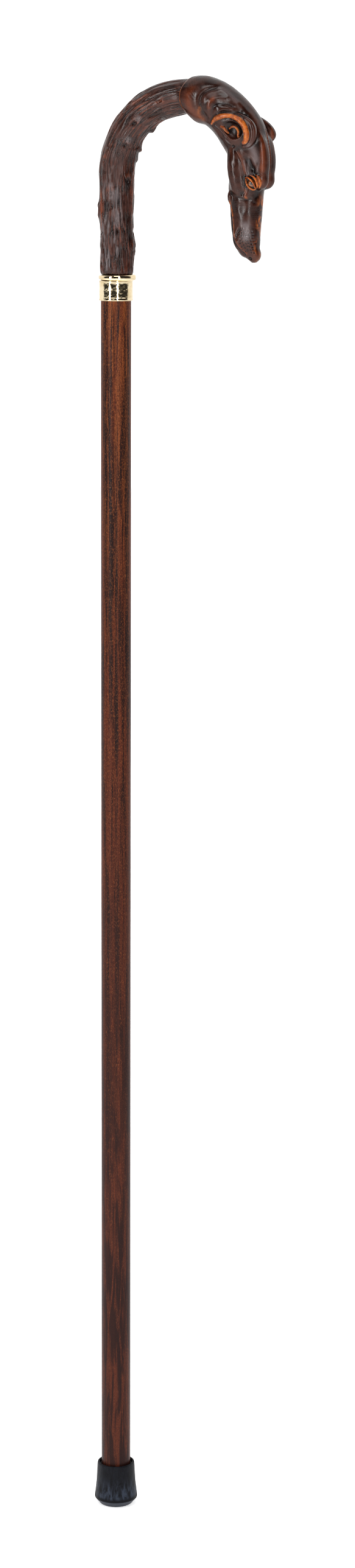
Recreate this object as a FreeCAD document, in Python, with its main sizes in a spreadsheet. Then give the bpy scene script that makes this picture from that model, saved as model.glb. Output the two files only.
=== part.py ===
import FreeCAD, Part
import math
import os
import Sketcher

# A single point walking cane with a curved branch-like handle that ends in a hound's head.
# The origin is the middle of the ferrule's foot, +Z runs up the shaft and the hound looks along +X,
# with its muzzle hanging down. The head and the crook are symmetric about the XZ plane.

# Driving dimensions, in millimetres and degrees. Each one becomes a cell of the sheet.
DIMENSIONS = {
    # shaft
    "shaft_diameter": 19.0,
    "shaft_foot": 9.5,
    "shaft_top": 806.6,
    "shaft_chamfer": 0.8,
    "dowel_depth": 56.0,
    # ferrule
    "ferrule_top": 28.8,
    "ferrule_rim_radius": 12.4,
    "ferrule_waist_radius": 12.9,
    "ferrule_waist": 14.0,
    "ferrule_wide_radius": 14.4,
    "ferrule_wide": 4.6,
    "ferrule_foot_radius": 10.6,
    "ferrule_foot_round": 1.2,
    "ferrule_rim_round": 0.8,
    "ferrule_floor": 8.0,
    "ferrule_clearance": 0.05,
    "recess_radius": 10.7,
    "recess_depth": 2.0,
    "tread_depth": 1.2,
    "tread_width": 1.4,
    "tread_radius": 8.6,
    "washer_radius": 9.2,
    "washer_hole": 2.6,
    # brass collar
    "sleeve_length": 12.5,
    "sleeve_radius": 10.75,
    "sleeve_round": 0.5,
    "bead_height": 3.7,
    "bead_radius": 11.8,
    "bead_round": 1.8,
    "bead_offset": 0.9,
    # crook
    "spigot_radius": 6.5,
    "rod_diameter": 7.0,
    "rod_chamfer": 0.8,
    "rod_reach": 16.0,
    "crook_radius": 48.0,
    "crook_start": 871.2,
    "branch_offset": 0.8,
    "branch_foot_radius": 10.3,
    "branch_radius": 10.7,
    "branch_bend_radius": 11.6,
    "branch_end_radius": 10.5,
    "branch_reach": 4.0,
    # eyes
    "eye_x": 91.6,
    "eye_y": 8.6,
    "eye_z": 867.3,
    "eye_radius": 3.1,
}

# Height of each cross-section of the stem, and its radius.
STEM_SECTIONS = (
    ("stem_foot", "dims.shaft_top + dims.bead_height", "dims.branch_foot_radius"),
    ("stem_low", "dims.shaft_top + 20", "dims.branch_foot_radius"),
    ("stem_middle", "dims.crook_start - 25", "dims.branch_radius"),
)

# Angle round the crook of each cross-section of the bend, and its radius.
BEND_SECTIONS = (
    ("bend_start", 0, "dims.branch_radius"),
    ("bend_low", 22, "dims.branch_radius"),
    ("bend_middle", 46, "dims.branch_bend_radius"),
    ("bend_high", 68, "dims.branch_bend_radius - 0.4"),
    ("bend_end", 90, "dims.branch_end_radius"),
)

# Cross-sections of the head from the neck's lip to the muzzle's end. Each is an ellipse:
# centre x and z, tilt from level, half depth along the profile and half width across it.
HEAD_SECTIONS = {
    "lip": (46.4, 918.8, 89.0, 11.7, 11.5),
    "nape": (56.5, 917.5, 98.0, 14.7, 14.2),
    "neck": (66.2, 914.3, 113.0, 14.4, 14.2),
    "occiput": (75.0, 907.4, 130.0, 14.6, 14.2),
    "crown": (83.0, 897.4, 147.0, 15.0, 14.2),
    "skull": (88.0, 886.5, 165.0, 15.6, 13.6),
    "temple": (88.2, 875.0, 176.0, 14.2, 12.6),
    "stop": (86.4, 863.5, 180.0, 12.0, 11.6),
    "bridge": (85.7, 852.0, 180.0, 10.2, 9.4),
    "muzzle": (86.2, 838.0, 180.0, 8.9, 8.2),
    "snout": (87.8, 828.6, 176.0, 7.1, 6.9),
    "chin": (90.2, 823.4, 168.0, 3.8, 3.6),
}

# Rounded masses that stand on the head: centre x, y, z, the three half sizes (along the profile,
# across the head, along the head's length) and the tilt from level. All but the nose are on both sides.
HEAD_MASSES = {
    "ear": (82.0, 12.4, 900.6, 5.2, 4.2, 12.0, 118.0),
    "brow": (95.6, 6.4, 870.6, 6.0, 5.2, 8.2, 172.0),
    "forehead": (95.4, 5.4, 888.0, 7.2, 5.4, 15.0, 170.0),
    "cheek": (80.8, 8.6, 876.0, 5.4, 5.2, 15.0, 176.0),
    "jowl": (77.6, 5.4, 859.6, 3.0, 3.2, 3.4, 180.0),
    "flew": (84.2, 5.0, 834.6, 4.8, 3.6, 9.0, 176.0),
    "nose": (91.2, 0.0, 823.9, 3.5, 4.4, 4.8, 166.0),
}

# Burls that stand out of the branch: centre x, y, z and radius.
BURLS = {
    "burl_outer": (-6.6, -1.6, 849.0, 4.2),
    "burl_front": (3.0, -7.0, 862.0, 4.0),
    "burl_inner": (7.9, -1.0, 828.0, 4.2),
    "burl_hollow": (14.2, -3.4, 886.5, 4.2),
    "burl_thorn": (19.4, -3.0, 896.4, 4.0),
    "burl_shoulder": (7.0, -7.0, 905.0, 4.2),
    "burl_back": (1.0, 7.4, 879.0, 4.4),
    "burl_arch": (30.0, 7.4, 913.0, 4.2),
}

XY_PLANE = "XY_Plane"
XZ_PLANE = "XZ_Plane"
ORIGIN = (-1, 1)
HORIZONTAL_AXIS = -1
VERTICAL_AXIS = -2
START_POINT = 1
END_POINT = 2
CENTRE_POINT = 3
ACROSS = FreeCAD.Vector(0, 1, 0)
UPWARD = FreeCAD.Vector(0, 0, 1)
NOWHERE = FreeCAD.Vector(0, 0, 0)
# What a length or an angle starts as before its cell's value is applied.
ROUGH_SIZE = 5
# Two lengths nearer than this are the same.
SAME = 1e-6

doc = FreeCAD.newDocument("single_point_cane")


def make_sheet():
    """Puts every driving dimension in a named cell."""
    sheet = doc.addObject("Spreadsheet::Sheet", "dims")
    cells = dict(DIMENSIONS)
    for table, columns in (
        (HEAD_SECTIONS, ("x", "z", "tilt", "deep", "wide")),
        (HEAD_MASSES, ("x", "y", "z", "deep", "wide", "long", "tilt")),
        (BURLS, ("x", "y", "z", "radius")),
    ):
        for name, numbers in table.items():
            cells.update({f"{name}_{column}": number for column, number in zip(columns, numbers)})
    for row, (alias, number) in enumerate(cells.items(), start=1):
        sheet.set(f"A{row}", alias)
        sheet.set(f"B{row}", str(number))
        sheet.setAlias(f"B{row}", alias)
    doc.recompute()
    return sheet


def new_body(name):
    """Makes an empty body whose label names its file."""
    body = doc.addObject("PartDesign::Body", name)
    body.Label = name
    return body


def new_sketch(body, name, role, height=None, across=None):
    """Makes a sketch on an origin plane of its body, lifted and shifted by sheet expressions."""
    sketch = body.newObject("Sketcher::SketchObject", name)
    plane = next(item for item in body.Origin.OriginFeatures if item.Role == role)
    sketch.AttachmentSupport = [(plane, "")]
    sketch.MapMode = "FlatFace"
    if height:
        sketch.setExpression("AttachmentOffset.Base.z", height)
    if across:
        sketch.setExpression("AttachmentOffset.Base.x", across)
    return sketch


def bind(sketch, constraint, expression):
    """Adds one measured constraint and binds it to the sheet."""
    index = sketch.addConstraint(constraint)
    sketch.setExpression(f"Constraints[{index}]", expression)


def add_circle(sketch, radius):
    """Draws a circle on the sketch's origin."""
    circle = sketch.addGeometry(Part.Circle(NOWHERE, UPWARD, ROUGH_SIZE), False)
    sketch.addConstraint(Sketcher.Constraint("Coincident", circle, CENTRE_POINT, *ORIGIN))
    bind(sketch, Sketcher.Constraint("Radius", circle, ROUGH_SIZE), radius)


def add_ellipse(sketch, half_depth, half_width):
    """Draws an ellipse on the sketch's origin, its depth along the sketch's own x."""
    far = FreeCAD.Vector(2 * ROUGH_SIZE, 0, 0)
    side = FreeCAD.Vector(0, ROUGH_SIZE, 0)
    ellipse = sketch.addGeometry(Part.Ellipse(far, side, NOWHERE), False)
    sketch.exposeInternalGeometry(ellipse)
    long_axis = ellipse + 1
    short_axis = ellipse + 2
    sketch.addConstraint(Sketcher.Constraint("Coincident", ellipse, CENTRE_POINT, *ORIGIN))
    sketch.addConstraint(Sketcher.Constraint("Horizontal", long_axis))
    bind(sketch, Sketcher.Constraint("Distance", long_axis, 4 * ROUGH_SIZE), f"2 * {half_depth}")
    bind(sketch, Sketcher.Constraint("Distance", short_axis, 2 * ROUGH_SIZE), f"2 * {half_width}")


def add_polygon(sketch, corners):
    """Draws a closed outline. A corner is two expressions, and None puts it on that axis."""
    count = len(corners)
    ring = [FreeCAD.Rotation(UPWARD, 360 * number / count).multVec(FreeCAD.Vector(ROUGH_SIZE, 0, 0))
            for number in range(count)]
    lines = []
    for number in range(count):
        line = Part.LineSegment(ring[number], ring[(number + 1) % count])
        lines.append(sketch.addGeometry(line, False))
    for number, line in enumerate(lines):
        following = lines[(number + 1) % count]
        joined = Sketcher.Constraint("Coincident", line, END_POINT, following, START_POINT)
        sketch.addConstraint(joined)
    for line, (across, along) in zip(lines, corners):
        if across is None:
            sketch.addConstraint(Sketcher.Constraint("PointOnObject", line, START_POINT, VERTICAL_AXIS))
        else:
            width = Sketcher.Constraint("DistanceX", *ORIGIN, line, START_POINT, ROUGH_SIZE)
            bind(sketch, width, across)
        if along is None:
            sketch.addConstraint(Sketcher.Constraint("PointOnObject", line, START_POINT, HORIZONTAL_AXIS))
        else:
            height = Sketcher.Constraint("DistanceY", *ORIGIN, line, START_POINT, ROUGH_SIZE)
            bind(sketch, height, along)


def add_pad(body, sketch, length):
    """Pads a sketch upward."""
    pad = body.newObject("PartDesign::Pad", f"{sketch.Name}_pad")
    pad.Profile = sketch
    pad.setExpression("Length", length)
    doc.recompute()
    return pad


def add_pocket(body, sketch, depth):
    """Cuts a sketch upward from its plane."""
    pocket = body.newObject("PartDesign::Pocket", f"{sketch.Name}_pocket")
    pocket.Profile = sketch
    pocket.Reversed = True
    pocket.setExpression("Length", depth)
    doc.recompute()
    return pocket


def circles_at(feature, height, radius):
    """Names the circular edges of a feature at one height that have one radius."""
    names = []
    for number, edge in enumerate(feature.Shape.Edges, start=1):
        curve = edge.Curve
        if not isinstance(curve, Part.Circle):
            continue
        if abs(curve.Center.z - height) < SAME and abs(curve.Radius - radius) < SAME:
            names.append(f"Edge{number}")
    return names


def add_fillet(body, feature, edges, radius):
    """Rounds named edges of a feature."""
    fillet = body.newObject("PartDesign::Fillet", f"{feature.Name}_round")
    fillet.Base = (feature, edges)
    fillet.setExpression("Radius", radius)
    doc.recompute()
    return fillet


def add_chamfer(body, feature, edges, size):
    """Bevels named edges of a feature."""
    chamfer = body.newObject("PartDesign::Chamfer", f"{feature.Name}_bevel")
    chamfer.Base = (feature, edges)
    chamfer.setExpression("Size", size)
    doc.recompute()
    return chamfer


def make_shaft(sheet):
    """A round beech shaft with a blind hole in its top for the handle's rod."""
    body = new_body("shaft")
    outline = new_sketch(body, "shaft_outline", XY_PLANE, "dims.shaft_foot")
    add_circle(outline, "dims.shaft_diameter / 2")
    add_pad(body, outline, "dims.shaft_top - dims.shaft_foot")
    hole = new_sketch(body, "shaft_hole", XY_PLANE, "dims.shaft_top - dims.dowel_depth")
    add_circle(hole, "dims.rod_diameter / 2")
    bored = add_pocket(body, hole, "dims.dowel_depth")
    foot_edge = circles_at(bored, sheet.shaft_foot, sheet.shaft_diameter / 2)
    add_chamfer(body, bored, foot_edge, "dims.shaft_chamfer")
    return body


def make_ferrule(sheet):
    """A flared rubber ferrule: a cup with a recessed rim and a ring cut in its foot."""
    body = new_body("ferrule")
    profile = new_sketch(body, "ferrule_profile", XZ_PLANE)
    bore = "dims.shaft_diameter / 2 + dims.ferrule_clearance"
    recess = "dims.ferrule_top - dims.recess_depth"
    add_polygon(profile, (
        (None, None),
        ("dims.ferrule_foot_radius", None),
        ("dims.ferrule_wide_radius", "dims.ferrule_wide"),
        ("dims.ferrule_waist_radius", "dims.ferrule_waist"),
        ("dims.ferrule_rim_radius", "dims.ferrule_top"),
        ("dims.recess_radius", "dims.ferrule_top"),
        ("dims.recess_radius", recess),
        (bore, recess),
        (bore, "dims.ferrule_floor"),
        (None, "dims.ferrule_floor"),
    ))
    turned = body.newObject("PartDesign::Revolution", "ferrule_turned")
    turned.Profile = profile
    turned.ReferenceAxis = (profile, ["V_Axis"])
    turned.Angle = 360
    doc.recompute()
    rounded = turned
    for height, radius, size in (
        (0.0, sheet.ferrule_foot_radius, "dims.ferrule_foot_round"),
        (sheet.ferrule_wide, sheet.ferrule_wide_radius, "dims.ferrule_foot_round"),
        (sheet.ferrule_top, sheet.ferrule_rim_radius, "dims.ferrule_rim_round"),
    ):
        rounded = add_fillet(body, rounded, circles_at(rounded, height, radius), size)
    tread = new_sketch(body, "ferrule_tread", XY_PLANE)
    add_circle(tread, "dims.tread_radius")
    add_circle(tread, "dims.tread_radius - dims.tread_width")
    add_pocket(body, tread, "dims.tread_depth")
    return body


def make_ferrule_washer():
    """The steel disc moulded into the ferrule's floor, which keeps the shaft from cutting through."""
    body = new_body("ferrule_washer")
    outline = new_sketch(body, "washer_outline", XY_PLANE, "dims.ferrule_floor")
    add_circle(outline, "dims.washer_radius")
    add_circle(outline, "dims.washer_hole")
    add_pad(body, outline, "dims.shaft_foot - dims.ferrule_floor")
    return body


def make_collar_sleeve(sheet):
    """The brass tube round the top of the shaft."""
    body = new_body("collar_sleeve")
    outline = new_sketch(body, "sleeve_outline", XY_PLANE, "dims.shaft_top - dims.sleeve_length")
    add_circle(outline, "dims.sleeve_radius")
    add_circle(outline, "dims.shaft_diameter / 2")
    tube = add_pad(body, outline, "dims.sleeve_length")
    edge = circles_at(tube, sheet.shaft_top - sheet.sleeve_length, sheet.sleeve_radius)
    add_fillet(body, tube, edge, "dims.sleeve_round")
    return body


def make_collar_bead(sheet):
    """The rounded brass ring between the shaft and the handle, a little off centre."""
    body = new_body("collar_bead")
    outline = new_sketch(body, "bead_outline", XY_PLANE, "dims.shaft_top", "dims.bead_offset")
    add_circle(outline, "dims.bead_radius")
    disc = add_pad(body, outline, "dims.bead_height")
    edges = circles_at(disc, sheet.shaft_top, sheet.bead_radius)
    edges += circles_at(disc, sheet.shaft_top + sheet.bead_height, sheet.bead_radius)
    add_fillet(body, disc, edges, "dims.bead_round")
    hole = new_sketch(body, "bead_hole", XY_PLANE, "dims.shaft_top")
    add_circle(hole, "dims.spigot_radius")
    add_pocket(body, hole, "dims.bead_height")
    return body


def make_core_rod(sheet):
    """The bent steel rod that pins the head and the crook to the shaft."""
    body = new_body("core_rod")
    foot = sheet.shaft_top - sheet.dowel_depth
    bend = sheet.crook_radius
    start = sheet.crook_start
    centre = FreeCAD.Vector(bend, start, 0)
    path = new_sketch(body, "rod_path", XZ_PLANE)
    shank = path.addGeometry(
        Part.LineSegment(FreeCAD.Vector(0, foot, 0), FreeCAD.Vector(0, start, 0)), False)
    circle = Part.Circle(centre, UPWARD, bend)
    arc = path.addGeometry(Part.ArcOfCircle(circle, math.pi / 2, math.pi), False)
    tail = path.addGeometry(Part.LineSegment(
        FreeCAD.Vector(bend, start + bend, 0),
        FreeCAD.Vector(bend + sheet.rod_reach, start + bend, 0)), False)
    path.addConstraint(Sketcher.Constraint("PointOnObject", shank, START_POINT, VERTICAL_AXIS))
    path.addConstraint(Sketcher.Constraint("Vertical", shank))
    path.addConstraint(Sketcher.Constraint("Tangent", shank, END_POINT, arc, END_POINT))
    path.addConstraint(Sketcher.Constraint("Tangent", arc, START_POINT, tail, START_POINT))
    path.addConstraint(Sketcher.Constraint("Horizontal", tail))
    bind(path, Sketcher.Constraint("DistanceY", *ORIGIN, shank, START_POINT, foot),
         "dims.shaft_top - dims.dowel_depth")
    bind(path, Sketcher.Constraint("DistanceY", *ORIGIN, shank, END_POINT, start), "dims.crook_start")
    bind(path, Sketcher.Constraint("Radius", arc, bend), "dims.crook_radius")
    bind(path, Sketcher.Constraint("Distance", tail, sheet.rod_reach), "dims.rod_reach")
    section = new_sketch(body, "rod_section", XY_PLANE, "dims.shaft_top - dims.dowel_depth")
    add_circle(section, "dims.rod_diameter / 2")
    doc.recompute()
    pipe = body.newObject("PartDesign::AdditivePipe", "rod_pipe")
    pipe.Profile = section
    pipe.Spine = path
    doc.recompute()
    return body


def new_section(body, name, along, height, tilt):
    """Makes the sketch of one cross-section, square to a line that leans by tilt from +Z toward +X."""
    sketch = new_sketch(body, name, XY_PLANE, height, along)
    turn = FreeCAD.Rotation(ACROSS, ROUGH_SIZE)
    sketch.AttachmentOffset = FreeCAD.Placement(NOWHERE, turn)
    sketch.setExpression("AttachmentOffset.Rotation.Angle", tilt)
    return sketch


def add_loft(body, sections):
    """Lofts one smooth skin through cross-sections."""
    doc.recompute()
    loft = body.newObject("PartDesign::AdditiveLoft", f"{body.Name}_loft")
    loft.Profile = (sections[0], [""])
    loft.Sections = [(section, [""]) for section in sections[1:]]
    doc.recompute()


def make_branch_skin():
    """The outside of the branch, from its foot round the crook to inside the hound's neck."""
    body = new_body("branch_skin")
    sections = []
    for name, height, radius in STEM_SECTIONS:
        section = new_sketch(body, name, XY_PLANE, height, "dims.branch_offset")
        add_circle(section, radius)
        sections.append(section)
    for name, angle, radius in BEND_SECTIONS:
        along = f"dims.branch_offset + dims.crook_radius * (1 - cos({angle} deg))"
        height = f"dims.crook_start + dims.crook_radius * sin({angle} deg)"
        section = new_section(body, name, along, height, f"{angle} deg")
        add_circle(section, radius)
        sections.append(section)
    along = "dims.branch_offset + dims.crook_radius + dims.branch_reach"
    height = "dims.crook_start + dims.crook_radius"
    end = new_section(body, "branch_end", along, height, "90 deg")
    add_circle(end, "dims.branch_end_radius")
    add_loft(body, sections + [end])
    return body


def place(item, x, y, z):
    """Binds an object's position to sheet expressions."""
    item.setExpression("Placement.Base.x", x)
    item.setExpression("Placement.Base.y", y)
    item.setExpression("Placement.Base.z", z)


def make_burl(name):
    """One rounded burl of the branch."""
    burl = doc.addObject("Part::Sphere", name)
    burl.setExpression("Radius", f"dims.{name}_radius")
    place(burl, f"dims.{name}_x", f"dims.{name}_y", f"dims.{name}_z")
    return burl


def fuse(name, shapes):
    """Joins objects in one solid."""
    joined = doc.addObject("Part::MultiFuse", name)
    joined.Shapes = shapes
    joined.Label = name
    return joined


def cut(name, base, tool):
    """Takes a tool out of a base."""
    result = doc.addObject("Part::Cut", name)
    result.Base = base
    result.Tool = tool
    result.Label = name
    return result


def make_solid_branch():
    """The branch before it is drilled: its skin, its burls and the spigot that passes the bead."""
    spigot = doc.addObject("Part::Cylinder", "branch_spigot")
    spigot.setExpression("Radius", "dims.spigot_radius")
    spigot.setExpression("Height", "dims.bead_height + dims.spigot_radius")
    spigot.setExpression("Placement.Base.z", "dims.shaft_top")
    burls = [make_burl(name) for name in BURLS]
    return fuse("branch_solid", [make_branch_skin(), spigot] + burls)


def make_mass(name, side):
    """One rounded mass of the head, on the side given by the sign."""
    cell = f"dims.{name}"
    mass = doc.addObject("Part::Ellipsoid", f"{name}_mass")
    mass.setExpression("Radius1", f"{cell}_long")
    mass.setExpression("Radius2", f"{cell}_deep")
    mass.setExpression("Radius3", f"{cell}_wide")
    mass.Placement.Rotation = FreeCAD.Rotation(ACROSS, ROUGH_SIZE)
    mass.setExpression("Placement.Rotation.Angle", f"{cell}_tilt * 1 deg")
    place(mass, f"{cell}_x", f"{side} * {cell}_y", f"{cell}_z")
    return mass


def make_head_skin():
    """The head's main form, lofted from the neck's lip to the chin."""
    body = new_body("head_skin")
    sections = []
    for name in HEAD_SECTIONS:
        cell = f"dims.{name}"
        section = new_section(body, name, f"{cell}_x", f"{cell}_z", f"{cell}_tilt * 1 deg")
        add_ellipse(section, f"{cell}_deep", f"{cell}_wide")
        sections.append(section)
    add_loft(body, sections)
    return body


def make_solid_head():
    """The head before its sockets are cut: its skin and the masses on it."""
    masses = []
    for name in HEAD_MASSES:
        sides = (1,) if name == "nose" else (1, -1)
        masses += [make_mass(name, side) for side in sides]
    return fuse("head_solid", [make_head_skin()] + masses)


def make_eye(name, side):
    """One glass eye, a ball set in the head."""
    eye = doc.addObject("Part::Sphere", name)
    eye.Label = name
    eye.setExpression("Radius", "dims.eye_radius")
    place(eye, "dims.eye_x", f"{side} * dims.eye_y", "dims.eye_z")
    return eye


def build():
    """Makes every sub-part and returns them in the order of assembly, from the ground up."""
    sheet = make_sheet()
    rod = make_core_rod(sheet)
    branch_solid = make_solid_branch()
    eyes = [make_eye("eye_left", 1), make_eye("eye_right", -1)]
    neck_filling = fuse("neck_filling", [branch_solid, rod])
    socketed_head = cut("socketed_head", make_solid_head(), neck_filling)
    one_eyed_head = cut("one_eyed_head", socketed_head, eyes[0])
    parts = [
        make_ferrule(sheet),
        make_ferrule_washer(),
        make_shaft(sheet),
        make_collar_sleeve(sheet),
        make_collar_bead(sheet),
        rod,
        cut("crook_branch", branch_solid, rod),
        cut("hound_head", one_eyed_head, eyes[1]),
    ]
    doc.recompute()
    return parts + eyes


def check(parts):
    """Stops if any object failed, or if a sub-part isn't one valid solid."""
    for item in doc.Objects:
        if "Invalid" in item.State or "Error" in item.State:
            raise RuntimeError(f"{item.Name} failed: {item.State}")
    for part in parts:
        shape = part.Shape
        if shape.isNull() or not shape.isValid() or len(shape.Solids) != 1:
            raise RuntimeError(f"{part.Label} isn't one valid solid")


def main():
    parts = build()
    check(parts)
    os.makedirs("parts", exist_ok=True)
    for part in parts:
        part.Shape.exportStep(f"parts/{part.Label}.step")
        box = part.Shape.optimalBoundingBox()
        print(f"{part.Label:16s} {part.Shape.Volume:10.1f} mm3  {box}")


main()
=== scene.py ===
import math
from itertools import product

import bpy
import numpy as np
import openvdb
from mathutils import Matrix, Vector


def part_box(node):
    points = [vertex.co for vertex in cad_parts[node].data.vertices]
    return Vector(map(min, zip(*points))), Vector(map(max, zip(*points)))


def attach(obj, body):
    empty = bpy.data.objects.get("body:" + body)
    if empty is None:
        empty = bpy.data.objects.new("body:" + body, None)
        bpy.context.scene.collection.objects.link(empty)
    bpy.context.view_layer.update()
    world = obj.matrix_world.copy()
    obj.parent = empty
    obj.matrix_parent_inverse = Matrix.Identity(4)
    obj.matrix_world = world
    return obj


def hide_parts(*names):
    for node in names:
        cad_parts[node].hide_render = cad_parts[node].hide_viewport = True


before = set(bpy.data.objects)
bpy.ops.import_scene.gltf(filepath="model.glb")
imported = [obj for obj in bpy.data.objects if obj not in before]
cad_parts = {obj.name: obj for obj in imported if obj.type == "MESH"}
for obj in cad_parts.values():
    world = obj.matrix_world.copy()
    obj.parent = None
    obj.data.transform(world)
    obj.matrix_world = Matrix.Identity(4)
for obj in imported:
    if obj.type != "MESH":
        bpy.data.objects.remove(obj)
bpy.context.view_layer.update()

# The looks of a walking cane: a sculpted hound's head, a bark-covered crook, a stained shaft, a brass
# collar and a rubber ferrule. Shapes are worked out in millimetres in the CAD frame and turned into
# metres when a mesh is made. The head is one half mirrored in the XZ plane, y being its width.
MM = 0.001
TURN = 2 * math.pi


def node_box(node):
    """A CAD node's lowest and highest corners, in millimetres."""
    low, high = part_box(node)
    return np.array(low) / MM, np.array(high) / MM


# ---------------------------------------------------------------- lines, noise and meshes

def smooth_line(points, per_span=12):
    """A smooth curve through control points, by Catmull-Rom spans."""
    control = np.asarray(points, float)
    padded = np.concatenate([[2 * control[0] - control[1]], control, [2 * control[-1] - control[-2]]])
    t = np.linspace(0, 1, per_span, endpoint=False)[:, None]
    spans = []
    for a, b, c, d in zip(padded, padded[1:], padded[2:], padded[3:]):
        spans.append(0.5 * (2 * b + (c - a) * t + (2 * a - 5 * b + 4 * c - d) * t ** 2
                            + (3 * b - a - 3 * c + d) * t ** 3))
    return np.concatenate(spans + [control[-1:]])


def soft_step(low, high, value):
    """0 below low, 1 above high and a smooth ramp between."""
    ramp = np.clip((value - low) / (high - low), 0, 1)
    return ramp * ramp * (3 - 2 * ramp)


NOISE_SIZE = 32


def noise(points, cell, seed):
    """Smooth random values between -1 and 1 at points; cell is one length, or one for each axis."""
    table = np.random.default_rng(seed).uniform(-1, 1, (NOISE_SIZE,) * 3)
    place = points / np.asarray(cell, float)
    corner = np.floor(place).astype(int)
    part = place - corner
    part = part * part * (3 - 2 * part)
    total = np.zeros(len(points))
    for step in product((0, 1), repeat=3):
        weight = np.prod(np.where(step, part, 1 - part), axis=1)
        i, j, k = ((corner + step) % NOISE_SIZE).T
        total += weight * table[i, j, k]
    return total


def make_piece(node, points, faces, body, material, marks=None):
    """Makes the smooth piece that stands for a CAD node, from points in millimetres. Its marks are
    named values of its points, for the material to read."""
    name = f"{node}_visual"
    mesh = bpy.data.meshes.new(name)
    mesh.from_pydata((points * MM).tolist(), [], faces)
    mesh.polygons.foreach_set("use_smooth", [True] * len(mesh.polygons))
    for mark, values in (marks or {}).items():
        layer = mesh.attributes.new(mark, "FLOAT", "POINT")
        layer.data.foreach_set("value", np.asarray(values, np.float32))
    mesh.validate()
    mesh.materials.append(material)
    piece = bpy.data.objects.new(name, mesh)
    bpy.context.collection.objects.link(piece)
    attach(piece, body)
    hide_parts(node)


def grid_faces(rows, columns, closed=False):
    """The quads of a tube of points. Each row is a closed ring; in a closed tube the last row also
    meets the first."""
    row, column = np.meshgrid(np.arange(rows if closed else rows - 1), np.arange(columns), indexing="ij")
    here, above = row * columns, (row + 1) % rows * columns
    following = (column + 1) % columns
    corners = [here + column, here + following, above + following, above + column]
    return np.stack(corners, -1).reshape(-1, 4)


def point_normals(points, faces):
    """The outward direction at each point of a quad mesh."""
    across = points[faces[:, 2]] - points[faces[:, 0]]
    along = points[faces[:, 3]] - points[faces[:, 1]]
    square = np.cross(across, along)
    total = np.zeros_like(points)
    for corner in range(4):
        np.add.at(total, faces[:, corner], square)
    return total / np.maximum(np.linalg.norm(total, axis=1, keepdims=True), 1e-9)


def relief(points, faces, rounds):
    """How far each point stands above its surroundings: positive on ridges, negative in hollows."""
    sides = [(corner, (corner + 1) % 4) for corner in range(4)]
    sides += [(end, start) for start, end in sides]
    start, end = [np.concatenate([faces[:, side[way]] for side in sides]) for way in (0, 1)]
    count = np.maximum(np.bincount(start, minlength=len(points)), 1)[:, None]
    smooth = points.copy()
    for _ in range(rounds):
        total = np.stack([np.bincount(start, smooth[end, axis], len(points)) for axis in range(3)], 1)
        smooth = 0.5 * smooth + 0.5 * total / count
    return ((points - smooth) * point_normals(points, faces)).sum(1)


# ---------------------------------------------------------------- materials

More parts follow.
